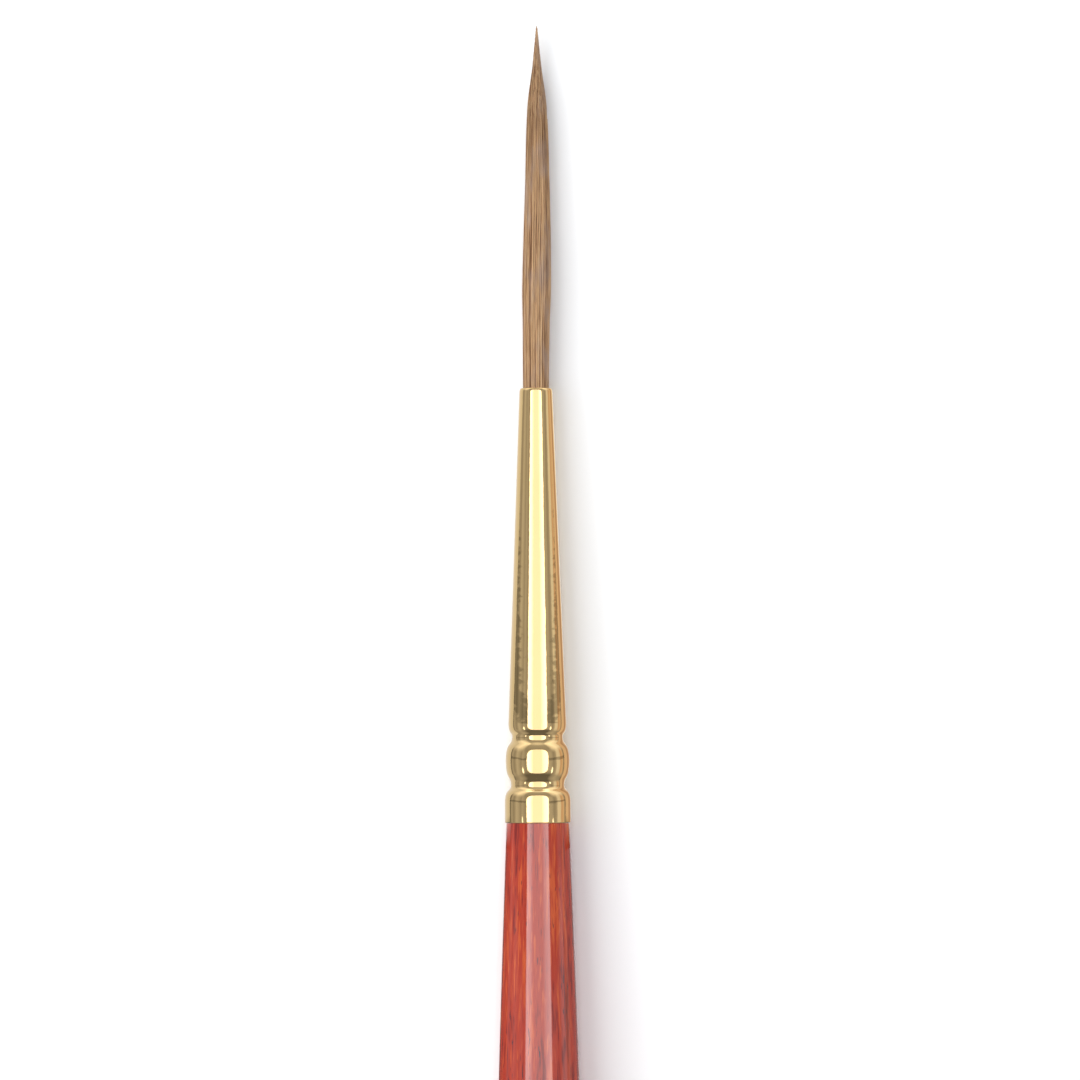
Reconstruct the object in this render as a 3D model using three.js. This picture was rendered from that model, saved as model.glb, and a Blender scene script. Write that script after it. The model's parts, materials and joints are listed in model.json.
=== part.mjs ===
// Fine detail brush: a long, pointed tuft of soft hair in a tapered ferrule with two crimps, on a
// turned wooden handle. Millimetres, +Z up. The brush lies on a flat surface, point towards +Y.
//
// Every station is a distance along the brush's own axis from the ferrule's mouth, positive towards
// the hair's point and negative towards the handle's tail. Every piece is turned about that axis.

import * as THREE from "three";

// ---- Driving dimensions ----

const facets = 32; // sides of every turned piece, with a flat side facing straight down
const fit = 0.02; // clearance between pieces that touch on the real brush

const ferrule = {
  length: 32.9,
  wall: 0.22,
  mouthRadius: 1.25,
  taperEnd: { station: -25.35, radius: 2.2 },
  frontCrimp: { station: -26.42, radius: 1.93 },
  bead: { station: -28.18, radius: 2.42 },
  rearCrimp: { station: -30.05, radius: 2.03 },
  collar: { station: -31.35, radius: 2.5 },
  waveSteps: 4, // straight steps in each roll from a crimp up to its neighbour
};

const handle = {
  shoulderRadius: 2.38,
  frontTaper: { behind: 19.5, radius: 3.05 }, // each "behind" is a distance behind the ferrule's end
  belly: { behind: 44, radius: 3.65 },
  waist: { behind: 67, radius: 2.75 },
  tailTaper: { behind: 93, radius: 1.7 },
  tailRadius: 1.25,
  length: 115,
  endFlatRadius: 0.75,
  endSteps: 3,
  stickSteps: 20,
  tenonLength: 15,
  tenonChamfer: 0.5,
};

const glueThickness = 0.08;

const hair = {
  mouth: { station: 0, radius: 1.02 },
  belly: { station: 7.5, radius: 1.1 },
  waist: { station: 17.5, radius: 0.88 },
  shoulder: { station: 22, radius: 0.66 },
  needle: { station: 25.6, radius: 0.2 },
  point: { station: 27.6, radius: 0.03 },
  buttAt: -10.5, // the cut ends of the hairs, inside the ferrule
  firstBendAt: 3,
  bendSpacing: 4,
  stretches: ["hair_heel", "hair_lower_belly", "hair_upper_belly", "hair_waist", "hair_taper", "hair_point"],
  stretchSteps: 4,
  pointSteps: 7,
  bendClearance: THREE.MathUtils.degToRad(13), // slope of the two faces that meet at a bend
};

const thread = {
  radius: 0.12,
  pitch: 0.27,
  turns: 5,
  middleAt: -7.6,
  squeeze: 0.1, // how deep the binding draws the hairs in
  sides: 6,
  stepsPerTurn: 12,
};

const resin = { frontAt: -5, rearAt: -12.6 };

// ---- Worked out from the dimensions above ----

const ferruleEnd = -ferrule.length;
const taperSlope = (ferrule.taperEnd.radius - ferrule.mouthRadius) / -ferrule.taperEnd.station;
const tenonEnd = ferruleEnd + handle.tenonLength;
const tailEnd = ferruleEnd - handle.length;
const tailRound = handle.tailRadius - handle.endFlatRadius;
const threadReach = (thread.turns * thread.pitch) / 2 + thread.radius;

// ---- Shared shapes ----

/** Turns a closed outline of [radius, station] points, listed from the tail to the point outside. */
function turned(outline) {
  const points = outline.map(([radius, station]) => new THREE.Vector2(radius, station));
  return new THREE.LatheGeometry(points, facets, Math.PI / facets);
}

/** Points of a rolled wave between two stations of a tube: it leaves and arrives along the axis. */
function rolledWave(from, to) {
  const reach = 0.65 * (to.station - from.station);
  const curve = new THREE.CubicBezierCurve(
    new THREE.Vector2(from.radius, from.station),
    new THREE.Vector2(from.radius, from.station + reach),
    new THREE.Vector2(to.radius, to.station - reach),
    new THREE.Vector2(to.radius, to.station),
  );
  return curve.getPoints(ferrule.waveSteps).slice(1);
}

/** The ferrule's outside at a station on its straight taper. */
function taperRadius(station) {
  return ferrule.mouthRadius - taperSlope * station;
}

/** The ferrule's outside from a station on its taper back to its end, moved inwards by depth. */
function ferruleLine(startStation, endStation, depth) {
  const { taperEnd, frontCrimp, bead, rearCrimp, collar } = ferrule;
  const waves = [taperEnd, frontCrimp, bead, rearCrimp, collar];
  const line = [[taperRadius(startStation), startStation]];
  line.push([taperEnd.radius, taperEnd.station]);
  for (let i = 1; i < waves.length; i += 1) {
    for (const point of rolledWave(waves[i - 1], waves[i])) line.push([point.x, point.y]);
  }
  line.push([collar.radius, endStation]);
  return line.map(([radius, station]) => [radius - depth, station]);
}

function piece(name, geometry, material) {
  const mesh = new THREE.Mesh(geometry, material);
  mesh.name = name;
  return mesh;
}

// ---- Materials ----

const stainedWood = new THREE.MeshStandardMaterial({ color: 0xb5402c, roughness: 0.25, metalness: 0 });
const gildedBrass = new THREE.MeshStandardMaterial({ color: 0xe3c069, roughness: 0.15, metalness: 1 });
const softHair = new THREE.MeshStandardMaterial({ color: 0xa47a54, roughness: 0.6, metalness: 0 });
const waxedThread = new THREE.MeshStandardMaterial({ color: 0xd8cdb4, roughness: 0.7, metalness: 0 });
const curedResin = new THREE.MeshStandardMaterial({ color: 0x8a6a30, roughness: 0.3, metalness: 0 });
const woodGlue = new THREE.MeshStandardMaterial({ color: 0xd9c48f, roughness: 0.4, metalness: 0 });

// ---- Pieces ----

/** The handle's outside from the start of its rounded tail end to the ferrule. */
function stickLine() {
  const swells = [handle.tailTaper, handle.waist, handle.belly, handle.frontTaper];
  const curve = new THREE.SplineCurve([
    new THREE.Vector2(handle.tailRadius, tailEnd + tailRound),
    ...swells.map(({ behind, radius }) => new THREE.Vector2(radius, ferruleEnd - behind)),
    new THREE.Vector2(handle.shoulderRadius, ferruleEnd - fit),
  ]);
  return curve.getPoints(handle.stickSteps).map((point) => [point.x, point.y]);
}

/** One turned stick: a long tail, a belly, a shoulder under the ferrule's end, and a tenon inside it. */
function makeHandle() {
  const depth = ferrule.wall + glueThickness + 2 * fit;
  const roundedEnd = [];
  for (let i = 0; i < handle.endSteps; i += 1) {
    const turn = ((i / handle.endSteps) * Math.PI) / 2;
    roundedEnd.push([
      handle.endFlatRadius + tailRound * Math.sin(turn),
      tailEnd + tailRound * (1 - Math.cos(turn)),
    ]);
  }
  const tenon = ferruleLine(tenonEnd, ferruleEnd - fit, depth).reverse();
  const tenonNose = tenon.pop();
  return turned([
    [0, tailEnd],
    ...roundedEnd,
    ...stickLine(),
    ...tenon,
    [tenonNose[0], tenonNose[1] - handle.tenonChamfer],
    [tenonNose[0] - handle.tenonChamfer, tenonNose[1]],
    [0, tenonNose[1]],
  ]);
}

/** The ferrule's thin drawn tube, with both crimps, the bead between them and the collar. */
function makeFerrule() {
  const outside = ferruleLine(0, ferruleEnd, 0).reverse();
  const inside = ferruleLine(0, ferruleEnd, ferrule.wall);
  return turned([...outside, ...inside, outside[0]]);
}

/** The film of glue that fills the ferrule round the tenon. */
function makeTenonGlue() {
  const front = tenonEnd - handle.tenonChamfer - fit;
  const back = ferruleEnd + fit;
  const outside = ferruleLine(front, back, ferrule.wall + fit).reverse();
  const inside = ferruleLine(front, back, ferrule.wall + fit + glueThickness);
  return turned([...outside, ...inside, outside[0]]);
}

/** The tuft's outline outside the ferrule. */
const tuftCurve = new THREE.SplineCurve(
  [hair.mouth, hair.belly, hair.waist, hair.shoulder, hair.needle, hair.point].map(
    ({ station, radius }) => new THREE.Vector2(radius, station),
  ),
);

/** The tuft's radius at a station outside the ferrule, found on its outline by halving. */
function tuftRadius(station) {
  const halvings = 30;
  let low = 0;
  let high = 1;
  for (let i = 0; i < halvings; i += 1) {
    const middle = (low + high) / 2;
    if (tuftCurve.getPoint(middle).y < station) low = middle;
    else high = middle;
  }
  return tuftCurve.getPoint(low).x;
}

/** Where the tuft bends: the station of bend number i. */
function bendStation(i) {
  return hair.firstBendAt + i * hair.bendSpacing;
}

/** A face of the tuft at a bend: a shallow cone, so that the two halves can lean on each other. */
function bendFace(i, side) {
  const middle = bendStation(i);
  const radius = tuftRadius(middle);
  return [
    [radius, middle + side * (fit + radius * Math.tan(hair.bendClearance))],
    [0, middle + side * fit],
  ];
}

/** The hairs inside the ferrule and just outside it, drawn in where the thread binds them. */
function makeHairRoot() {
  const [rim, tip] = bendFace(0, -1);
  const root = hair.mouth.radius - fit;
  const boundFrom = thread.middleAt - threadReach - fit;
  const boundTo = thread.middleAt + threadReach + fit;
  return turned([
    [0, hair.buttAt],
    [root - thread.squeeze / 2, hair.buttAt],
    [root, boundFrom - thread.squeeze],
    [root - thread.squeeze, boundFrom],
    [root - thread.squeeze, boundTo],
    [root, boundTo + thread.squeeze],
    [root, 0],
    [tuftRadius(rim[1] / 2), rim[1] / 2],
    rim,
    tip,
  ]);
}

/** The stretch of the tuft from bend number i to the next one, or to the point. */
function makeHairStretch(i) {
  const [backRim, backTip] = bendFace(i, 1);
  const last = i === hair.stretches.length - 1;
  const { station, radius } = hair.point;
  const [frontRim, frontTip] = last ? [[radius, station], [0, station]] : bendFace(i + 1, -1);
  const steps = last ? hair.pointSteps : hair.stretchSteps;
  const outline = [backTip, backRim];
  for (let k = 1; k < steps; k += 1) {
    const along = backRim[1] + ((frontRim[1] - backRim[1]) * k) / steps;
    outline.push([tuftRadius(along), along]);
  }
  return turned([...outline, frontRim, frontTip]);
}

/** The thread wound round the hairs' root. */
function makeRootThread() {
  const coilRadius = hair.mouth.radius - thread.squeeze + thread.radius + fit;
  const steps = thread.turns * thread.stepsPerTurn;
  const points = [];
  for (let k = 0; k <= steps; k += 1) {
    const turn = (k / thread.stepsPerTurn) * 2 * Math.PI;
    const along = thread.middleAt + thread.pitch * (k / thread.stepsPerTurn - thread.turns / 2);
    points.push(new THREE.Vector3(coilRadius * Math.sin(turn), along, coilRadius * Math.cos(turn)));
  }
  const section = new THREE.Shape().absarc(0, 0, thread.radius, 0, 2 * Math.PI);
  return new THREE.ExtrudeGeometry(section, {
    steps,
    curveSegments: thread.sides,
    extrudePath: new THREE.CatmullRomCurve3(points),
    bevelEnabled: false,
  });
}

/** The resin that holds the hairs: a sleeve round their root and a plug behind their cut ends. */
function makeRootResin() {
  const outsideAt = (station) => taperRadius(station) - ferrule.wall - fit;
  const root = hair.mouth.radius;
  const overThread = root - thread.squeeze + 2 * thread.radius + 3 * fit;
  const boundFrom = thread.middleAt - threadReach - 3 * fit;
  const boundTo = thread.middleAt + threadReach + 3 * fit;
  return turned([
    [0, resin.rearAt],
    [outsideAt(resin.rearAt), resin.rearAt],
    [outsideAt(resin.frontAt), resin.frontAt],
    [root, resin.frontAt],
    [root, boundTo],
    [overThread, boundTo],
    [overThread, boundFrom],
    [root, boundFrom],
    [root, hair.buttAt - fit],
    [0, hair.buttAt - fit],
  ]);
}

// ---- The brush ----

const brush = new THREE.Group();
brush.add(piece("handle", makeHandle(), stainedWood));
brush.add(piece("ferrule", makeFerrule(), gildedBrass));
brush.add(piece("tenon_glue", makeTenonGlue(), woodGlue));
brush.add(piece("root_resin", makeRootResin(), curedResin));
brush.add(piece("root_thread", makeRootThread(), waxedThread));
brush.add(piece("hair_root", makeHairRoot(), softHair));
hair.stretches.forEach((name, i) => brush.add(piece(name, makeHairStretch(i), softHair)));

/** How far the resting brush dips towards its point: it touches down at the collar and the belly. */
function restingDip() {
  const flatShare = Math.cos(Math.PI / facets); // a flat side is this much nearer the axis than its edges
  const { radius: collarRadius, station: collarStation } = ferrule.collar;
  const dips = stickLine().map(([radius, station]) =>
    Math.atan((flatShare * (radius - collarRadius)) / (collarStation - station)),
  );
  return Math.max(...dips);
}

// Lay the brush down: dip it towards its point, then bring its lowest point to the surface and the
// middle of its length to the origin.
const laid = new THREE.Group();
laid.add(brush);
brush.rotation.x = -restingDip();
laid.updateMatrixWorld(true);
const reach = new THREE.Box3().setFromObject(brush, true);
brush.position.set(0, -(reach.min.y + reach.max.y) / 2, -reach.min.z);

export default laid;
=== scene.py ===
import bpy
import bmesh
import json
import math
import random
from bisect import bisect_right
from mathutils import Matrix, Vector
from mathutils.geometry import interpolate_bezier
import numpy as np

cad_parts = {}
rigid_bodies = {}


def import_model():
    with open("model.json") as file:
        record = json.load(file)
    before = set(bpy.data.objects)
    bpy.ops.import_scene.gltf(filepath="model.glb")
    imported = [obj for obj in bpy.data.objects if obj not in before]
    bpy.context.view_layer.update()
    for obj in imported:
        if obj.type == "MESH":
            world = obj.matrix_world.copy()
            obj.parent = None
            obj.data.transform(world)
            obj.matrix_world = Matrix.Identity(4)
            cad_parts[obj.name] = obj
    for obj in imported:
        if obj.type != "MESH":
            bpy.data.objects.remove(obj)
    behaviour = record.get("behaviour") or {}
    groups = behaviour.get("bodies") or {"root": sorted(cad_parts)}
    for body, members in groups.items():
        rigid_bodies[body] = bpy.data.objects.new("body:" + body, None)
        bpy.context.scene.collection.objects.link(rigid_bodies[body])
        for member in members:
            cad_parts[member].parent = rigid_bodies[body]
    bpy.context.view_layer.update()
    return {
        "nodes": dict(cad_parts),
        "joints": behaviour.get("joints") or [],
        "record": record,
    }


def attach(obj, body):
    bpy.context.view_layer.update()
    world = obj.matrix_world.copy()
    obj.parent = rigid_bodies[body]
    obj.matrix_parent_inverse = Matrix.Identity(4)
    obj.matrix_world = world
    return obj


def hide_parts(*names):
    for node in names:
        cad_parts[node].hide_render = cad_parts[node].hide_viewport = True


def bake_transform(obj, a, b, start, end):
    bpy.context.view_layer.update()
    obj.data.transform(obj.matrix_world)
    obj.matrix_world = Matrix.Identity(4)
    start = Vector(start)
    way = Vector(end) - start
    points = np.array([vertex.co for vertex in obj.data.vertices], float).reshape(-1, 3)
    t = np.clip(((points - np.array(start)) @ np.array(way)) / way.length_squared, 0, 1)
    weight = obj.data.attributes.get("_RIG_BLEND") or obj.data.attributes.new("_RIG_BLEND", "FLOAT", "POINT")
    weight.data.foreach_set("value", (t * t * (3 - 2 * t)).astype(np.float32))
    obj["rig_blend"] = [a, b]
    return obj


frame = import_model()
print("frame loaded with", len(frame["nodes"]), "nodes")

# The brush is modelled in millimetres in its own space: Y runs along the brush from the ferrule's
# mouth towards the hair's point, and Z is up. layDown puts that space where the frame has it.
brush = {
    "firstBendAt": 3.0,
    "cadSides": 32,
    "millimetre": 0.001,
    "weld": 0.00002,  # points closer than this are one point, in millimetres
    "squareEnd": 0.995,  # an end face points along the brush at least this much
}
bends = [Vector(joint["pos_m"]) for joint in frame["joints"]]
forward = (bends[-1] - bends[0]).normalized()
mouth = bends[0] - forward * brush["firstBendAt"] * brush["millimetre"]
leaning = Vector((0, 1, 0)).rotation_difference(forward)
layDown = (
    Matrix.Translation(mouth)
    @ leaning.to_matrix().to_4x4()
    @ Matrix.Scale(brush["millimetre"], 4)
)
flatShare = math.cos(math.pi / brush["cadSides"])  # a turned CAD piece touches the floor on a flat side


def placeAt(station):
    # the point on the brush's axis at a station, in the frame
    return mouth + forward * station * brush["millimetre"]


def splinePoints(knots, steps):
    # a smooth line through (station, radius) knots
    ends = [knots[0], *knots, knots[-1]]
    points = []
    for before, here, there, after in zip(ends, ends[1:], ends[2:], ends[3:]):
        a, b, c, d = (Vector((*knot, 0)) for knot in (before, here, there, after))
        leave = b + (c - a) / 6
        arrive = c - (d - b) / 6
        points += interpolate_bezier(b, leave, arrive, c, steps + 1)[:-1]
    return [(p.x, p.y) for p in points] + [knots[-1]]


def arcPoints(station, radius, size, fromAngle, toAngle, steps):
    # a round corner about (station, radius), angles in degrees from +station towards +radius
    points = []
    for k in range(steps + 1):
        turn = math.radians(fromAngle + (toAngle - fromAngle) * k / steps)
        points.append((station + size * math.cos(turn), radius + size * math.sin(turn)))
    return points


def spinProfile(bm, profile, steps, closed=False):
    # turns an outline of (station, radius) points into a closed body about the brush's axis
    verts = [bm.verts.new((radius * flatShare, station, 0)) for station, radius in profile]
    edges = [bm.edges.new(pair) for pair in zip(verts, verts[1:])]
    if closed:
        edges.append(bm.edges.new((verts[-1], verts[0])))
    bmesh.ops.spin(
        bm, geom=verts + edges, cent=(0, 0, 0), axis=(0, 1, 0), dvec=(0, 0, 0),
        angle=2 * math.pi, steps=steps, use_merge=True, use_normal_flip=False, use_duplicate=False,
    )


def finishPiece(bm, name, material, weld=brush["weld"]):
    # merges seams and poles, turns faces outwards, and lays the piece down in the frame
    bmesh.ops.remove_doubles(bm, verts=bm.verts[:], dist=weld)
    bm.normal_update()
    bmesh.ops.recalc_face_normals(bm, faces=bm.faces[:])
    bm.normal_update()
    for face in bm.faces:
        face.smooth = True
        if abs(face.normal.y) > brush["squareEnd"]:  # an end cut square has sharp edges
            for edge in face.edges:
                edge.smooth = False
    bmesh.ops.transform(bm, matrix=layDown, verts=bm.verts[:])
    mesh = bpy.data.meshes.new(name)
    bm.to_mesh(mesh)
    bm.free()
    mesh.materials.append(material)
    piece = bpy.data.objects.new(name, mesh)
    bpy.context.scene.collection.objects.link(piece)
    return piece


def newMaterial(name):
    material = bpy.data.materials.new(name)
    material.use_nodes = True
    tree = material.node_tree
    return material, tree, tree.nodes["Principled BSDF"]


def addNode(tree, kind, inputs=None, **settings):
    node = tree.nodes.new(kind)
    for key, value in settings.items():
        setattr(node, key, value)
    for key, value in (inputs or {}).items():
        if isinstance(value, bpy.types.NodeSocket):
            tree.links.new(value, node.inputs[key])
        else:
            node.inputs[key].default_value = value
    return node


def brushCoordinates(tree, across, along):
    # object coordinates along the brush's own axis, with one unit every so many millimetres
    coordinates = addNode(tree, "ShaderNodeTexCoord")
    turning = addNode(tree, "ShaderNodeMapping", {"Vector": coordinates.outputs["Object"]})
    turning.inputs["Rotation"].default_value = leaning.inverted().to_euler()
    scaling = addNode(tree, "ShaderNodeMapping", {"Vector": turning.outputs["Vector"]})
    sizes = (across, along, across)
    scaling.inputs["Scale"].default_value = tuple(1 / (size * brush["millimetre"]) for size in sizes)
    return scaling.outputs["Vector"]


def addNoise(tree, vector, detail=3.0, roughness=0.5, distortion=0.0):
    node = addNode(tree, "ShaderNodeTexNoise", {"Vector": vector, "Scale": 1.0, "Detail": detail})
    node.inputs["Roughness"].default_value = roughness
    node.inputs["Distortion"].default_value = distortion
    return node.outputs["Fac"]


def addRamp(tree, factor, stops, interpolation="LINEAR"):
    node = addNode(tree, "ShaderNodeValToRGB", {"Fac": factor})
    ramp = node.color_ramp
    ramp.interpolation = interpolation
    while len(ramp.elements) < len(stops):
        ramp.elements.new(0.5)
    for element, (place, colour) in zip(ramp.elements, stops):
        element.position = place
        element.color = (*colour, 1) if len(colour) == 3 else colour
    return node.outputs["Color"]


def addMix(tree, factor, first, second, blend="MIX"):
    node = addNode(tree, "ShaderNodeMix", data_type="RGBA", blend_type=blend)
    for key, value in ((0, factor), (6, first), (7, second)):
        if isinstance(value, bpy.types.NodeSocket):
            tree.links.new(value, node.inputs[key])
        else:
            node.inputs[key].default_value = value
    return node.outputs[2]


def addMath(tree, operation, first, second=0.0, clamp=False):
    node = addNode(tree, "ShaderNodeMath", operation=operation, use_clamp=clamp)
    for key, value in ((0, first), (1, second)):
        if isinstance(value, bpy.types.NodeSocket):
            tree.links.new(value, node.inputs[key])
        else:
            node.inputs[key].default_value = value
    return node.outputs[0]


def addBump(tree, height, strength, distance, normal=None):
    node = addNode(tree, "ShaderNodeBump", {"Height": height, "Strength": strength, "Distance": distance})
    if normal is not None:
        tree.links.new(normal, node.inputs["Normal"])
    return node.outputs["Normal"]


def grey(value):
    return (value, value, value)


gold = {
    "tint": (0.90, 0.655, 0.335),
    "deepTint": (0.87, 0.615, 0.285),
    "roughness": (0.03, 0.09),
    "wornFrom": 0.35,
    "wornTo": 0.75,
    # how wide and how long each pattern's patches are, in millimetres
    "tintSize": (1.4, 5.0),
    "wearSize": (0.5, 1.6),
    "drawLineSize": (0.05, 6.0),
    "grainSize": (0.10, 0.22),
    "dentSize": (0.9, 0.7),
    "drawLineStrength": 0.35,
    # metres
    "drawLineDepth": 0.0000012,
    "grainDepth": 0.0000009,
    "dentDepth": 0.000010,
}


def makeGold():
    material, tree, shader = newMaterial("gildedBrass")
    cloud = addNoise(tree, brushCoordinates(tree, *gold["tintSize"]), detail=3)
    tint = addMix(tree, cloud, (*gold["tint"], 1), (*gold["deepTint"], 1))
    tree.links.new(tint, shader.inputs["Base Color"])
    low, high = gold["roughness"]
    handled = addNoise(tree, brushCoordinates(tree, *gold["wearSize"]), detail=5, roughness=0.65)
    wear = addRamp(tree, handled, [(gold["wornFrom"], grey(low)), (gold["wornTo"], grey(high))])
    tree.links.new(wear, shader.inputs["Roughness"])
    drawn = addNoise(tree, brushCoordinates(tree, *gold["drawLineSize"]), detail=2)
    normal = addBump(tree, drawn, gold["drawLineStrength"], gold["drawLineDepth"])
    grains = addNoise(tree, brushCoordinates(tree, *gold["grainSize"]), detail=1)
    normal = addBump(tree, grains, 1.0, gold["grainDepth"], normal)
    dents = addNoise(tree, brushCoordinates(tree, *gold["dentSize"]), detail=1)
    normal = addBump(tree, dents, 1.0, gold["dentDepth"], normal)
    tree.links.new(normal, shader.inputs["Normal"])
    shader.inputs["Metallic"].default_value = 1.0
    return material


wood = {
    "darkStreak": (0.20, 0.014, 0.010),
    "red": (0.39, 0.034, 0.014),
    "orange": (0.54, 0.085, 0.022),
    "pore": (0.07, 0.012, 0.022),
    # each pattern's width and length in millimetres, and its share of the grain
    "figure": ((1.5, 14.0), 0.34),
    "fibres": ((0.36, 6.0), 0.36),
    "fine": ((0.16, 2.2), 0.30),
    "grainStops": (0.41, 0.47, 0.52, 0.59),
    "poreSize": (0.13, 1.1),
    "poreStops": (0.66, 0.71),
    "poreZoneSize": (1.2, 6.0),
    "poreZoneStops": (0.48, 0.60),
    "fibreDepth": 0.00001,
    "fibreStrength": 0.25,
    "woodRoughness": 0.55,
    "lacquerRoughness": 0.04,
    "lacquerIor": 1.9,
    "lacquerWave": 0.000010,
    "lacquerWaveSize": (1.0, 4.5),
    "lacquerWaveStrength": 0.6,
}


def makeWood():
    material, tree, shader = newMaterial("stainedWood")
    (figureSize, figureShare), (fibreSize, fibreShare) = wood["figure"], wood["fibres"]
    fineSize, fineShare = wood["fine"]
    figure = addNoise(tree, brushCoordinates(tree, *figureSize), detail=2, roughness=0.5, distortion=0.4)
    fibres = addNoise(tree, brushCoordinates(tree, *fibreSize), detail=2, roughness=0.6)
    fine = addNoise(tree, brushCoordinates(tree, *fineSize), detail=2)
    coarse = addMath(tree, "MULTIPLY", figure, figureShare)
    grain = addMath(tree, "ADD", coarse, addMath(tree, "MULTIPLY", fibres, fibreShare))
    grain = addMath(tree, "ADD", grain, addMath(tree, "MULTIPLY", fine, fineShare))
    stains = (wood["darkStreak"], wood["red"], wood["red"], wood["orange"])
    colour = addRamp(tree, grain, list(zip(wood["grainStops"], stains)))
    offAndOn = (grey(0), grey(1))
    porePlace = addNoise(tree, brushCoordinates(tree, *wood["poreSize"]), detail=1)
    pores = addRamp(tree, porePlace, list(zip(wood["poreStops"], offAndOn)))
    poreZone = addNoise(tree, brushCoordinates(tree, *wood["poreZoneSize"]), detail=1)
    poreZone = addRamp(tree, poreZone, list(zip(wood["poreZoneStops"], offAndOn)))
    pores = addMath(tree, "MULTIPLY", pores, poreZone)
    colour = addMix(tree, pores, colour, (*wood["pore"], 1))
    tree.links.new(colour, shader.inputs["Base Color"])
    shader.inputs["Roughness"].default_value = wood["woodRoughness"]
    shader.inputs["Specular IOR Level"].default_value = 0.0  # only the lacquer shines
    fibreBump = addBump(tree, fibres, wood["fibreStrength"], wood["fibreDepth"])
    tree.links.new(fibreBump, shader.inputs["Normal"])
    shader.inputs["Coat Weight"].default_value = 1.0
    shader.inputs["Coat Roughness"].default_value = wood["lacquerRoughness"]
    shader.inputs["Coat IOR"].default_value = wood["lacquerIor"]
    wave = addNoise(tree, brushCoordinates(tree, *wood["lacquerWaveSize"]), detail=2)
    waveBump = addBump(tree, wave, wood["lacquerWaveStrength"], wood["lacquerWave"])
    tree.links.new(waveBump, shader.inputs["Coat Normal"])
    return material


hairLook = {
    "dark": (0.11, 0.052, 0.022),
    "brown": (0.29, 0.155, 0.074),
    "tan": (0.54, 0.335, 0.172),
    "pale": (0.66, 0.47, 0.29),
    # painted grey sheen: mauve patches stand for a greyish sheen along the hairs
    "mauve": (0.36, 0.265, 0.215),
    "colourStops": (0.10, 0.36, 0.62, 0.90),
    # a hair's own tone and a pattern along it add up to its colour's place between those stops
    "toneShare": 0.6,
    "driftShare": 0.9,
    "darker": 0.27,
    "driftSize": (0.14, 2.2),
    "patchSize": (0.9, 3.5),
    "patchStops": (0.52, 0.68),
    "patchStrength": 0.55,
    "roughness": 0.42,
    "shine": 0.35,
    "sheen": 0.12,
    "sheenRoughness": 0.4,
}


def makeHair():
    material, tree, shader = newMaterial("softHair")
    tone = addNode(tree, "ShaderNodeAttribute", attribute_name="tone").outputs["Fac"]
    drift = addNoise(tree, brushCoordinates(tree, *hairLook["driftSize"]), detail=3, roughness=0.65)
    ownTone = addMath(tree, "MULTIPLY", tone, hairLook["toneShare"])
    mixed = addMath(tree, "ADD", ownTone, addMath(tree, "MULTIPLY", drift, hairLook["driftShare"]))
    mixed = addMath(tree, "SUBTRACT", mixed, hairLook["darker"])
    browns = [hairLook[name] for name in ("dark", "brown", "tan", "pale")]
    colour = addRamp(tree, mixed, list(zip(hairLook["colourStops"], browns)))
    # mauve patches over the colour are a painted grey sheen
    patches = addNoise(tree, brushCoordinates(tree, *hairLook["patchSize"]), detail=2)
    strengths = (grey(0), grey(hairLook["patchStrength"]))
    patches = addRamp(tree, patches, list(zip(hairLook["patchStops"], strengths)))
    colour = addMix(tree, patches, colour, (*hairLook["mauve"], 1))
    tree.links.new(colour, shader.inputs["Base Color"])
    shader.inputs["Roughness"].default_value = hairLook["roughness"]
    shader.inputs["Specular IOR Level"].default_value = hairLook["shine"]
    shader.inputs["Sheen Weight"].default_value = hairLook["sheen"]
    shader.inputs["Sheen Roughness"].default_value = hairLook["sheenRoughness"]
    return material


# glue, resin and thread, which the ferrule hides
fills = {
    # node: material, dark and light colour, roughness, the pattern's width and length in millimetres
    "tenon_glue": ("woodGlue", (0.55, 0.44, 0.22), (0.75, 0.66, 0.42), 0.45, 0.6, 1.5),
    "root_resin": ("curedResin", (0.20, 0.10, 0.02), (0.42, 0.25, 0.07), 0.2, 0.8, 1.2),
    "root_thread": ("bindingThread", (0.50, 0.45, 0.34), (0.80, 0.76, 0.66), 0.7, 0.06, 0.06),
}


def makePlainFill(name, dark, light, roughness, across, along):
    material, tree, shader = newMaterial(name)
    cloud = addNoise(tree, brushCoordinates(tree, across, along), detail=4)
    tree.links.new(addMix(tree, cloud, (*dark, 1), (*light, 1)), shader.inputs["Base Color"])
    tree.links.new(addBump(tree, cloud, 0.4, 0.00001), shader.inputs["Normal"])
    shader.inputs["Roughness"].default_value = roughness
    return material


ferrule = {
    "length": 32.9,
    "wall": 0.22,
    "mouthRadius": 1.25,
    "taperEnd": (-25.35, 2.2),
    "waves": [(-26.42, 1.93), (-28.18, 2.42), (-30.05, 2.03), (-31.35, 2.5)],
    "waveSteps": 20,
    "crestReach": 0.80,  # how flat a crest is, and how flat a crimp is, as shares of the wave
    "crimpReach": 0.36,
    "lipLength": 0.34,
    "lipDepth": 0.13,
    "heelRound": 0.09,
    "taperSteps": 10,
    "steps": 160,
}


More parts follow.
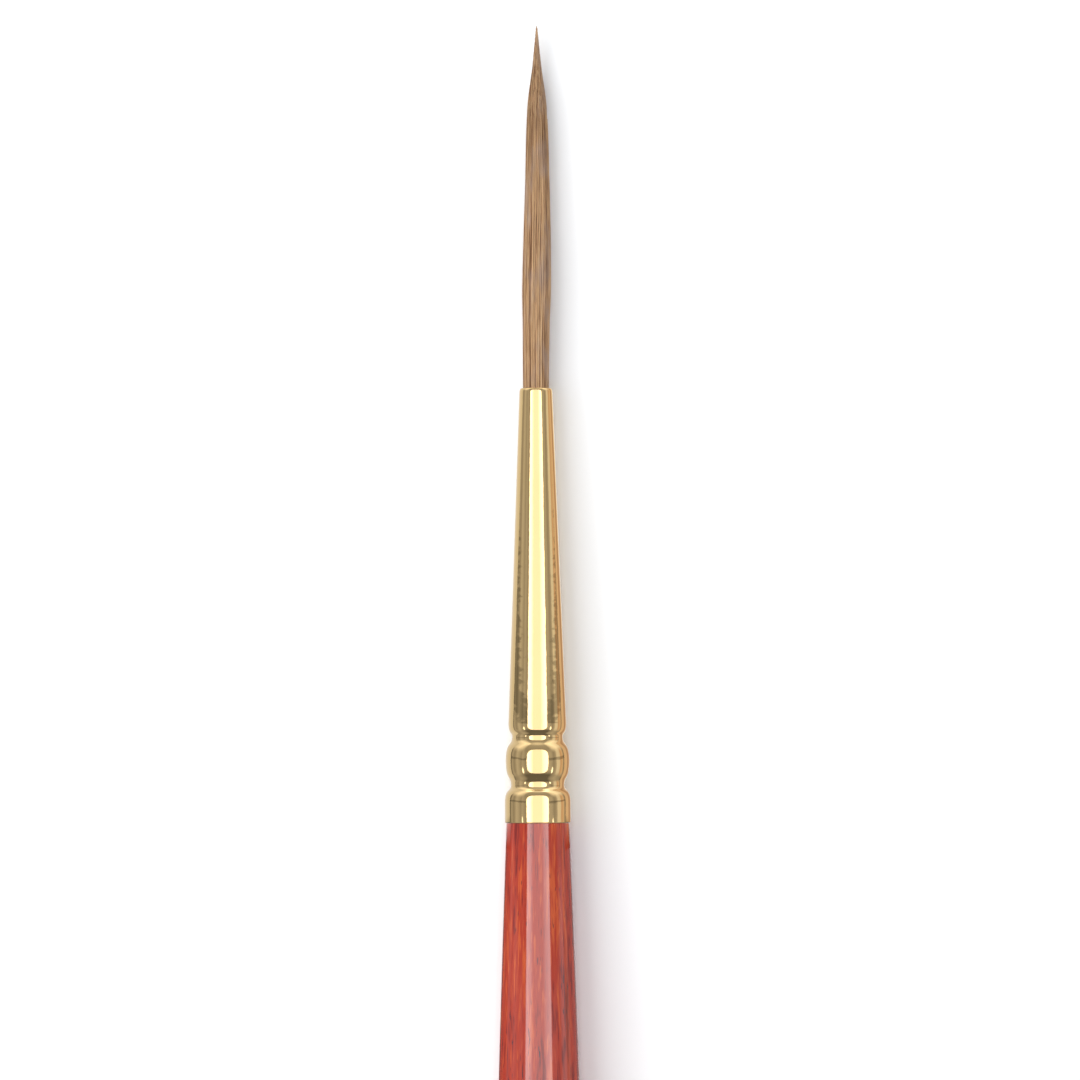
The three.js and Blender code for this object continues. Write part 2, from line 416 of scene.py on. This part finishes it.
def ferruleLine(startStation, endStation, depth):
    # the ferrule's outside from its taper back to its end, moved inwards by depth
    slope = (ferrule["taperEnd"][1] - ferrule["mouthRadius"]) / -ferrule["taperEnd"][0]
    line = [(startStation, ferrule["mouthRadius"] - slope * startStation)]
    crests = [ferrule["taperEnd"], *ferrule["waves"]]
    for k in range(1, ferrule["taperSteps"] + 1):
        station = startStation + (crests[0][0] - startStation) * k / ferrule["taperSteps"]
        line.append((station, ferrule["mouthRadius"] - slope * station))
    for here, there in zip(crests, crests[1:]):
        falling = there[1] < here[1]
        reaches = ("crestReach", "crimpReach") if falling else ("crimpReach", "crestReach")
        leave, arrive = (ferrule[reach] * (there[0] - here[0]) for reach in reaches)
        knots = [(*here, 0), (here[0] + leave, here[1], 0), (there[0] - arrive, there[1], 0), (*there, 0)]
        wave = interpolate_bezier(*(Vector(knot) for knot in knots), ferrule["waveSteps"] + 1)
        line += [(p.x, p.y) for p in wave[1:]]
    line.append((endStation, ferrule["waves"][-1][1]))
    return [(station, radius - depth) for station, radius in line]


def lipPoints(radius, depth):
    # the mouth's edge, rolled in over the last of the taper, from the edge back to the tube
    lip = ferrule["lipLength"]
    turns = [math.radians(15 * k) for k in range(7)]
    return [(lip * (math.cos(turn) - 1), radius + depth * (1 - math.sin(turn))) for turn in turns]


def makeFerrule(material):
    heel, wall = ferrule["heelRound"], ferrule["wall"]
    end = -ferrule["length"]
    lip = ferrule["lipLength"]
    outside = ferruleLine(-lip, end + heel, 0)
    inside = ferruleLine(-lip, end + heel, wall)
    mouthOut = lipPoints(outside[0][1], -ferrule["lipDepth"])
    mouthIn = lipPoints(inside[0][1], wall - ferrule["lipDepth"])[::-1]
    backOut = arcPoints(end + heel, outside[-1][1] - heel, heel, 90, 180, 4)
    backIn = arcPoints(end + heel, inside[-1][1] + heel, heel, 180, 270, 4)
    profile = mouthOut + outside[1:-1] + backOut + backIn + inside[-2:0:-1] + mouthIn
    bm = bmesh.new()
    spinProfile(bm, profile, ferrule["steps"], closed=True)
    piece = finishPiece(bm, "ferruleTube", material)
    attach(piece, "handle_and_ferrule")
    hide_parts("ferrule")
    return piece


handle = {
    "shoulderRadius": 2.38,
    "swells": [(93.0, 1.7), (67.0, 2.75), (44.0, 3.65), (19.5, 3.05)],
    "tailRadius": 1.25,
    "length": 115.0,
    "endFlatRadius": 0.75,
    "tenonLength": 15.0,
    "tenonChamfer": 0.5,
    "glueThickness": 0.08,
    "clearance": 0.02,
    "curveSteps": 22,
    "steps": 144,
}


def makeHandle(material):
    back = -ferrule["length"]
    tail = back - handle["length"]
    tailRound = handle["tailRadius"] - handle["endFlatRadius"]
    knots = [(tail + tailRound, handle["tailRadius"])]
    knots += [(back - behind, radius) for behind, radius in handle["swells"]]
    knots.append((back - handle["clearance"], handle["shoulderRadius"]))
    end = arcPoints(tail + tailRound, handle["endFlatRadius"], tailRound, 180, 90, 8)
    stick = splinePoints(knots, handle["curveSteps"])
    depth = ferrule["wall"] + handle["glueThickness"] + 2 * handle["clearance"]
    tenonEnd = back + handle["tenonLength"]
    tenon = ferruleLine(tenonEnd, back - handle["clearance"], depth)[::-1]
    noseRadius = tenon[-1][1]
    nose = [
        (tenonEnd - handle["tenonChamfer"], noseRadius),
        (tenonEnd, noseRadius - handle["tenonChamfer"]),
        (tenonEnd, 0),
    ]
    bm = bmesh.new()
    spinProfile(bm, [(tail, 0), *end, *stick[1:], *tenon[:-1], *nose], handle["steps"])
    piece = finishPiece(bm, "turnedHandle", material)
    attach(piece, "handle_and_ferrule")
    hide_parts("handle")
    return piece


# the tuft is single hairs round a dark core, cut half way between the bends
tuft = {
    "outline": [
        (-10.5, 0.95), (-9.0, 0.97), (-8.4, 0.88), (-6.8, 0.88), (-6.0, 0.97), (0.0, 1.0), (4.8, 1.04),
        (7.6, 1.11), (11.6, 1.05), (15.5, 0.94), (19.6, 0.84), (21.9, 0.69), (24.1, 0.39), (25.6, 0.24),
        (26.7, 0.13), (27.6, 0.05),
    ],
    "hairs": 620,
    "hairRadius": 0.040,
    "hairSides": 5,
    "point": 27.6,
    "edgeHairsEndBefore": 7.0,
    "fineOver": 8.0,
    "tipRadius": 0.017,
    "swing": 0.055,
    "freeFrom": 6.0,  # the mouth holds the hairs still, and from here on they swing freely
    "gather": 0.95,
    "gatherPower": 1.5,
    "finePower": 0.6,
    "bow": 0.17,  # how far the hair bends to one side of the ferrule's axis
    "bowBy": 17.0,
    "clumps": 38,
    "clumpSpread": 0.11,
    "tone": (0.52, 0.15),
    "endSpread": (0.75, 1.15),
    "radiusSpread": (0.85, 1.15),
    "swingSpread": (0.3, 1.0),
    "waveLengths": (9, 16),
    "angleSpread": 0.04,
    "shortestGrowth": 0.3,
    "rootRings": [-8.4, -6.8, -5.0, -2.0, 0.0],
    "tipRing": 26.3,
    "coreInset": 0.075,
    "coreEndRadius": 0.02,
    # the core's low tone is painted shade inside the tuft
    "coreTone": 0.12,
    "coreEnd": 24.6,
    "coreSteps": 24,
    "bendSpacing": 4.0,
    "blendReach": 2.0,
    "weld": 0.000001,
    "seed": 7,
}
tuftLine = splinePoints(tuft["outline"], 10)
tuftStations = [station for station, radius in tuftLine]


def tuftRadius(station):
    place = min(max(bisect_right(tuftStations, station), 1), len(tuftLine) - 1)
    (s0, r0), (s1, r1) = tuftLine[place - 1], tuftLine[place]
    share = min(max((station - s0) / (s1 - s0), 0), 1)
    return r0 + (r1 - r0) * share


def bowAt(station):
    # how far aside the tuft's axis is at a station
    bowed = min(max(station / tuft["bowBy"], 0), 1)
    return tuft["bow"] * bowed * bowed * (3 - 2 * bowed)


def growHairs():
    # one dictionary for each hair: where it stands in the bundle, how long it is, and its tone
    rng = random.Random(tuft["seed"])
    hairs = []
    golden = math.pi * (3 - math.sqrt(5))
    clumpTones = [rng.gauss(0, tuft["clumpSpread"]) for _ in range(tuft["clumps"])]
    for i in range(tuft["hairs"]):
        reach = math.sqrt((i + 0.5) / tuft["hairs"])
        early = tuft["edgeHairsEndBefore"] * reach ** tuft["gatherPower"] * rng.uniform(*tuft["endSpread"])
        around = (i * golden / (2 * math.pi)) % 1
        clumpTone = clumpTones[int(around * tuft["clumps"])]
        hairs.append({
            "reach": reach,
            "angle": i * golden + rng.uniform(-tuft["angleSpread"], tuft["angleSpread"]),
            "end": tuft["point"] - early,
            "radius": tuft["hairRadius"] * rng.uniform(*tuft["radiusSpread"]),
            "swing": tuft["swing"] * rng.uniform(*tuft["swingSpread"]),
            "length": rng.uniform(*tuft["waveLengths"]),
            "phase": rng.uniform(0, 2 * math.pi),
            "tone": min(max(rng.gauss(*tuft["tone"]) + clumpTone, 0), 1),
        })
    return hairs


def hairRing(hair, station, corner):
    # the place of one corner of a hair's section at a station
    left = max(hair["end"] - station, 0)
    fine = min(left / tuft["fineOver"], 1) ** tuft["finePower"]
    radius = max(hair["radius"] * fine, tuft["tipRadius"])
    # the hairs that are still there fill the whole outline
    remaining = (tuft["point"] - station) / (tuft["edgeHairsEndBefore"] * tuft["gather"])
    widest = min(max(remaining, 0.02), 1) ** (1 / tuft["gatherPower"])
    reach = min(hair["reach"] / widest, 1)
    spread = max(tuftRadius(station) - radius, 0) * reach
    free = min(max(station / tuft["freeFrom"], 0), 1)
    wave = math.sin(2 * math.pi * station / hair["length"] + hair["phase"])
    angle = hair["angle"] + hair["swing"] * free * wave
    turn = 2 * math.pi * corner / tuft["hairSides"]
    return Vector((
        bowAt(station) + spread * math.cos(angle) + radius * math.cos(turn),
        station,
        spread * math.sin(angle) + radius * math.sin(turn),
    ))


def addHairs(bm, hairs, start, stop, rings):
    toneLayer = bm.verts.layers.float.new("tone")
    hairLayer = bm.verts.layers.int.new("hair")
    cornerLayer = bm.verts.layers.int.new("corner")
    shortest = start + tuft["shortestGrowth"]
    growing = {i: hair for i, hair in enumerate(hairs) if hair["end"] > shortest}
    for i, hair in growing.items():
        made = bmesh.ops.create_circle(
            bm, cap_ends=True, radius=1, segments=tuft["hairSides"], matrix=Matrix.Identity(4),
        )
        for corner, vert in enumerate(made["verts"]):
            vert[hairLayer] = i
            vert[cornerLayer] = corner
            vert[toneLayer] = hair["tone"]
            vert.co = hairRing(hair, start, corner)
    tops = bm.faces[:]
    for k in range(1, len(rings)):
        share = (rings[k] - start) / (stop - start)
        below = tops
        grown = bmesh.ops.extrude_face_region(bm, geom=tops, use_keep_orig=True)["geom"]
        tops = [item for item in grown if isinstance(item, bmesh.types.BMFace)]
        if k > 1:  # only the first ring keeps its caps, so no wall is left inside a hair
            bmesh.ops.delete(bm, geom=below, context="FACES_ONLY")
        for vert in {v for face in tops for v in face.verts}:
            hair = growing[vert[hairLayer]]
            station = start + (min(stop, hair["end"]) - start) * share
            vert.co = hairRing(hair, station, vert[cornerLayer])
    bm.verts.layers.int.remove(hairLayer)
    bm.verts.layers.int.remove(bm.verts.layers.int["corner"])
    return bm.verts.layers.float["tone"]


def addCore(bm, toneLayer, start, stop, rings):
    # a dark core, so that no light passes between the hairs; its low tone is painted shade between them
    stations = [station for station in rings if station < min(stop, tuft["coreEnd"])]
    stations.append(min(stop, tuft["coreEnd"]))
    known = set(bm.verts)
    outline = [(s, max(tuftRadius(s) - tuft["coreInset"], tuft["coreEndRadius"])) for s in stations]
    spinProfile(bm, [(stations[0], 0), *outline, (stations[-1], 0)], tuft["coreSteps"])
    for vert in set(bm.verts) - known:
        vert[toneLayer] = tuft["coreTone"]
        vert.co.x += bowAt(vert.co.y)


def makeTuft(material):
    hairs = growHairs()
    names = ["tuftHeel", "tuftLowerBelly", "tuftUpperBelly", "tuftWaist", "tuftTaper", "tuftPoint"]
    bodies = [frame["joints"][0]["parent"], *[joint["child"] for joint in frame["joints"]]]
    nodes = frame["record"]["behaviour"]["bodies"]
    for i, name in enumerate(names):
        bend = brush["firstBendAt"] + i * tuft["bendSpacing"]
        first, last = i == 0, i == len(names) - 1
        start = tuft["outline"][0][0] if first else bend - tuft["blendReach"]
        stop = tuft["point"] if last else bend + tuft["blendReach"]
        rings = [bend + k for k in range(-2, 3)]
        if first:
            rings = [start, *tuft["rootRings"], *rings]
        if last:
            rings += [tuft["tipRing"], stop]
        bm = bmesh.new()
        toneLayer = addHairs(bm, hairs, start, stop, rings)
        addCore(bm, toneLayer, start, stop, rings)
        piece = finishPiece(bm, name, material, weld=tuft["weld"])
        replaced = ["hair_root"] if first else []
        replaced += nodes[bodies[i + 1]]
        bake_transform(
            piece, bodies[i], bodies[i + 1],
            start=placeAt(bend - tuft["blendReach"]), end=placeAt(bend + tuft["blendReach"]),
        )
        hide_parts(*replaced)
        print(name, "made with", len(piece.data.polygons), "faces")


studio = {
    "floorRadius": 3.0,
    "sweepRise": 0.45,
    "sweepSteps": 8,
    "sweepTurn": 80.0,
    "floorGrey": 0.97,
    "farGlow": 0.80,  # the floor far away glows a little, so it stays as pale as the lit floor
    "farGlowFrom": 0.35,
    "farGlowTo": 1.3,
    "worldColour": (0.192, 0.207, 0.228),
    "lights": {
        # name: place, width, length, power
        "overheadLight": ((0, 0.04, 1.0), 0.30, 1.6, 3.8),
        "keyLight": ((-0.70, 0.08, 0.97), 0.95, 0.9, 9.8),
        "lowLight": ((-1.0, 0.10, 0.66), 0.5, 0.5, 3.4),
        "rightLight": ((1.18, 0.03, 0.14), 0.2, 1.2, 9.5),
    },
}


def makeStagePiece(bm, name, material):
    mesh = bpy.data.meshes.new(name)
    bm.to_mesh(mesh)
    bm.free()
    mesh.materials.append(material)
    piece = bpy.data.objects.new(name, mesh)
    bpy.context.scene.collection.objects.link(piece)
    return piece


def makeFloor():
    # a pale floor that sweeps up into a low wall a long way off
    material, tree, shader = newMaterial("studioFloor")
    shader.inputs["Base Color"].default_value = (*grey(studio["floorGrey"]), 1)
    shader.inputs["Roughness"].default_value = 0.9
    shader.inputs["Specular IOR Level"].default_value = 0.0
    coordinates = addNode(tree, "ShaderNodeTexCoord")
    away = addNode(tree, "ShaderNodeVectorMath", {0: coordinates.outputs["Object"]}, operation="LENGTH")
    near, far = studio["farGlowFrom"], studio["farGlowTo"]
    share = addMath(tree, "SUBTRACT", away.outputs["Value"], near)
    share = addMath(tree, "DIVIDE", share, far - near, clamp=True)
    shader.inputs["Emission Color"].default_value = (*grey(1.0), 1)
    tree.links.new(addMath(tree, "MULTIPLY", share, studio["farGlow"]), shader.inputs["Emission Strength"])
    radius, rise = studio["floorRadius"], studio["sweepRise"]
    sweep = [(0, 0, 0)]
    for k in range(studio["sweepSteps"] + 1):
        turn = math.radians(studio["sweepTurn"] * k / studio["sweepSteps"])
        sweep.append((radius + rise * math.sin(turn), 0, rise * (1 - math.cos(turn))))
    bm = bmesh.new()
    verts = [bm.verts.new(place) for place in sweep]
    edges = [bm.edges.new(pair) for pair in zip(verts, verts[1:])]
    bmesh.ops.spin(
        bm, geom=verts + edges, cent=(0, 0, 0), axis=(0, 0, 1), angle=2 * math.pi, steps=64, use_merge=True,
    )
    bmesh.ops.remove_doubles(bm, verts=bm.verts[:], dist=1e-5)
    floor = makeStagePiece(bm, "studioFloor", material)
    floor.visible_glossy = False


def hideButGlossy(piece):
    # only the polished surfaces see this piece
    piece.visible_camera = False
    piece.visible_diffuse = False
    piece.visible_shadow = False
    piece.visible_transmission = False
    piece.visible_volume_scatter = False


def emitting(name):
    material = bpy.data.materials.new(name)
    material.use_nodes = True
    tree = material.node_tree
    tree.nodes.clear()
    glow = addNode(tree, "ShaderNodeEmission")
    output = addNode(tree, "ShaderNodeOutputMaterial")
    tree.links.new(glow.outputs[0], output.inputs["Surface"])
    coordinates = addNode(tree, "ShaderNodeTexCoord")
    place = addNode(tree, "ShaderNodeSeparateXYZ", {"Vector": coordinates.outputs["Object"]})
    return material, tree, glow, place


dome = {
    "radius": 1.6,
    "centreY": 0.045,
    "brightest": 3.2,
    "softboxHalf": (39.0, 31.0),  # degrees across and along the brush
    "softboxAlong": 2.0,
    "softboxSquareness": 2.8,
    # degrees from overhead, across the brush: how bright the painted softbox highlight is
    "softbox": [(-40, 3.2), (-25, 2.5), (-17, 1.42), (15, 1.42), (23, 2.2), (40, 2.9)],
    # the same for the painted reflection of the room beside it
    "room": [
        (-180, 0.10), (-113, 0.16), (-105, 0.46), (-93, 0.32), (-80, 0.55), (-70, 0.46), (-62, 0.36),
        (-56, 0.48), (-44, 0.35), (40, 0.50), (52, 0.46), (61, 0.33), (70, 0.42), (77, 0.80), (87, 0.76),
        (93, (0.62, 0.44, 0.34)), (103, (0.72, 0.58, 0.48)), (112, 0.28), (180, 0.25),
    ],
    # degrees along the brush, towards the point: the painted reflection of the room at its two ends
    "ends": [
        (-90, 0.9), (-74, 0.8), (-64, 0.16), (-34, 0.14), (34, 0.36), (62, 0.45), (72, 0.85), (90, 0.9),
    ],
    # and how much brighter those ends are low down at the sides
    "endGain": [
        (-180, 1.8), (-108, 2.3), (-84, 3.1), (-64, 2.2), (-50, 1.0), (50, 1.0), (64, 2.3), (84, 3.2),
        (108, 2.5), (180, 1.8),
    ],
    # painted shade in the reflection: the reflected room is darker over this narrow band along the brush
    "gapAt": 2.3,
    "gapHalf": 1.8,
    "gapFade": 0.6,
    "gapDepth": 0.45,
    "endsFrom": 16.0,
    "endsTo": 34.0,
    # two painted glints, one on each side, low down along the brush
    "lampAt": (56.0, -17.0),
    "lampHalf": (3.5, 9.0),
    "lampLevel": 2.2,
}


def levelRamp(tree, degrees, levels, reach):
    stops = []
    for angle, level in levels:
        colour = level if isinstance(level, tuple) else grey(level)
        stops.append(((angle + reach) / (2 * reach), tuple(part / dome["brightest"] for part in colour)))
    share = addMath(tree, "DIVIDE", addMath(tree, "ADD", degrees, reach), 2 * reach)
    return addRamp(tree, share, stops)


def ovalMask(tree, across, along, half, squareness, softness):
    # 1 inside an oval of angles, fading to 0 over its edge
    parts = []
    for angle, reach in zip((across, along), half):
        share = addMath(tree, "DIVIDE", addMath(tree, "ABSOLUTE", angle), reach)
        parts.append(addMath(tree, "POWER", share, squareness))
    outside = addMath(tree, "ADD", parts[0], parts[1])
    inside = addMath(tree, "SUBTRACT", 1 + softness, outside)
    return addMath(tree, "DIVIDE", inside, 2 * softness, clamp=True)


def makePaintedReflectionDome():
    # painted reflections for the polished surfaces: a glowing sphere that only glossy rays see, painted with
    # a softbox highlight overhead, two small glints, and the dim room
    material, tree, glow, place = emitting("studioDome")
    across = addMath(tree, "ARCTAN2", place.outputs["X"], place.outputs["Z"])
    across = addMath(tree, "DEGREES", across)
    along = addMath(tree, "ARCSINE", addMath(tree, "DIVIDE", place.outputs["Y"], dome["radius"]))
    along = addMath(tree, "DEGREES", along)
    room = levelRamp(tree, across, dome["room"], 180)
    fromGap = addMath(tree, "ABSOLUTE", addMath(tree, "SUBTRACT", along, dome["gapAt"]))
    insideGap = addMath(tree, "SUBTRACT", dome["gapHalf"], fromGap)
    gap = addMath(tree, "DIVIDE", insideGap, dome["gapFade"], clamp=True)
    gap = addMath(tree, "MULTIPLY", gap, dome["gapDepth"])
    room = addMix(tree, gap, room, (0, 0, 0, 1))
    ends = levelRamp(tree, along, dome["ends"], 90)
    ends = addMath(tree, "MULTIPLY", ends, levelRamp(tree, across, dome["endGain"], 180))
    ends = addMath(tree, "MULTIPLY", ends, dome["brightest"])
    endShare = addMath(tree, "SUBTRACT", addMath(tree, "ABSOLUTE", along), dome["endsFrom"])
    endShare = addMath(tree, "DIVIDE", endShare, dome["endsTo"] - dome["endsFrom"], clamp=True)
    level = addMix(tree, endShare, room, ends)
    # the two painted glints
    glintAcross = addMath(tree, "SUBTRACT", addMath(tree, "ABSOLUTE", across), dome["lampAt"][0])
    glintAlong = addMath(tree, "SUBTRACT", along, dome["lampAt"][1])
    glints = ovalMask(tree, glintAcross, glintAlong, dome["lampHalf"], 2.0, 0.3)
    level = addMix(tree, glints, level, (*grey(dome["lampLevel"] / dome["brightest"]), 1))
    boxAlong = addMath(tree, "SUBTRACT", along, dome["softboxAlong"])
    box = ovalMask(tree, across, boxAlong, dome["softboxHalf"], dome["softboxSquareness"], 0.12)
    level = addMix(tree, box, level, levelRamp(tree, across, dome["softbox"], 180))
    tree.links.new(level, glow.inputs["Color"])
    glow.inputs["Strength"].default_value = dome["brightest"]
    bm = bmesh.new()
    bmesh.ops.create_uvsphere(bm, u_segments=64, v_segments=32, radius=dome["radius"])
    bmesh.ops.reverse_faces(bm, faces=bm.faces[:])
    piece = makeStagePiece(bm, "studioDome", material)
    piece.location.y = dome["centreY"]
    hideButGlossy(piece)


underGlow = {
    "halfWidth": 10.0,
    "ahead": 8.0,
    "behind": 2.0,
    "fade": 0.002,
    "lift": 0.03,
    # millimetres across the floor beside the ferrule, and the painted colour the gold mirrors there: the lit
    # floor on the left, and a darker warm band on the right as painted shadow of the brush on the floor
    "colours": [
        (-10, (0.68, 0.68, 0.68)), (-4, (0.80, 0.80, 0.80)), (2.6, (0.95, 0.95, 0.92)),
        (3.4, (0.62, 0.46, 0.36)), (4.6, (0.46, 0.31, 0.22)), (6.0, (0.75, 0.60, 0.50)),
        (10, (0.72, 0.58, 0.48)),
    ],
}


def makePaintedFloorReflection():
    # a painted reflection: a glowing card under the ferrule that only glossy rays see, painted with the lit
    # floor and the brush's shadow on it as the ferrule mirrors them
    material, tree, glow, place = emitting("underGlow")
    half = underGlow["halfWidth"]
    reach = half * brush["millimetre"]
    share = addMath(tree, "DIVIDE", addMath(tree, "ADD", place.outputs["X"], reach), 2 * reach)
    stops = [((x + half) / (2 * half), colour) for x, colour in underGlow["colours"]]
    tree.links.new(addRamp(tree, share, stops), glow.inputs["Color"])
    front = placeAt(underGlow["ahead"]).y
    back = placeAt(-ferrule["length"] - underGlow["behind"]).y
    fade = addMath(tree, "DIVIDE", addMath(tree, "SUBTRACT", place.outputs["Y"], back), underGlow["fade"])
    tree.links.new(addMath(tree, "MULTIPLY", fade, 1.0, clamp=True), glow.inputs["Strength"])
    bm = bmesh.new()
    bmesh.ops.create_grid(bm, x_segments=1, y_segments=1, size=0.5)
    bmesh.ops.scale(bm, vec=(2 * reach, front - back, 1), verts=bm.verts[:])
    height = underGlow["lift"] * brush["millimetre"]
    bmesh.ops.translate(bm, vec=(0, (front + back) / 2, height), verts=bm.verts[:])
    hideButGlossy(makeStagePiece(bm, "underGlow", material))


def makeLights():
    world = bpy.data.worlds.new("studioWorld")
    world.use_nodes = True
    background = world.node_tree.nodes["Background"]
    background.inputs["Color"].default_value = (*studio["worldColour"], 1)
    background.inputs["Strength"].default_value = 1.0
    bpy.context.scene.world = world
    for name, (place, width, length, power) in studio["lights"].items():
        light = bpy.data.lights.new(name, "AREA")
        light.shape = "RECTANGLE"
        light.size = width
        light.size_y = length
        light.energy = power
        lamp = bpy.data.objects.new(name, light)
        lamp.location = place
        lamp.rotation_euler = (-Vector(place)).to_track_quat("-Z", "Y").to_euler()
        lamp.visible_glossy = False
        bpy.context.scene.collection.objects.link(lamp)


view = {
    "frameWidth": 0.0818,
    "lens": 200.0,
    "sensor": 36.0,
    "behindPoint": 39.1,  # millimetres from the hair's point to the middle of the view
    "aside": 0.258,
    "lean": -0.25,
    "focusHeight": 0.002,
}


def makeCamera():
    data = bpy.data.cameras.new("camera")
    data.lens = view["lens"]
    data.sensor_width = view["sensor"]
    camera = bpy.data.objects.new("camera", data)
    middle = placeAt(tuft["point"] - view["behindPoint"])
    rise = view["frameWidth"] * view["lens"] / view["sensor"]
    camera.location = (view["aside"] * brush["millimetre"], middle.y, view["focusHeight"] + rise)
    camera.rotation_euler = (0, 0, math.radians(view["lean"]))
    bpy.context.scene.collection.objects.link(camera)
    bpy.context.scene.camera = camera


makeCamera()
makeFloor()
makePaintedReflectionDome()
makePaintedFloorReflection()
makeLights()
bpy.context.scene.view_settings.view_transform = "Standard"
print("studio ready")
makeFerrule(makeGold())
print("ferrule made")
makeHandle(makeWood())
print("handle made")
makeTuft(makeHair())
for nodeName, fill in fills.items():
    node = frame["nodes"][nodeName]
    node.data.materials.clear()
    node.data.materials.append(makePlainFill(*fill))
print("hidden pieces finished")

bpy.context.view_layer.update()
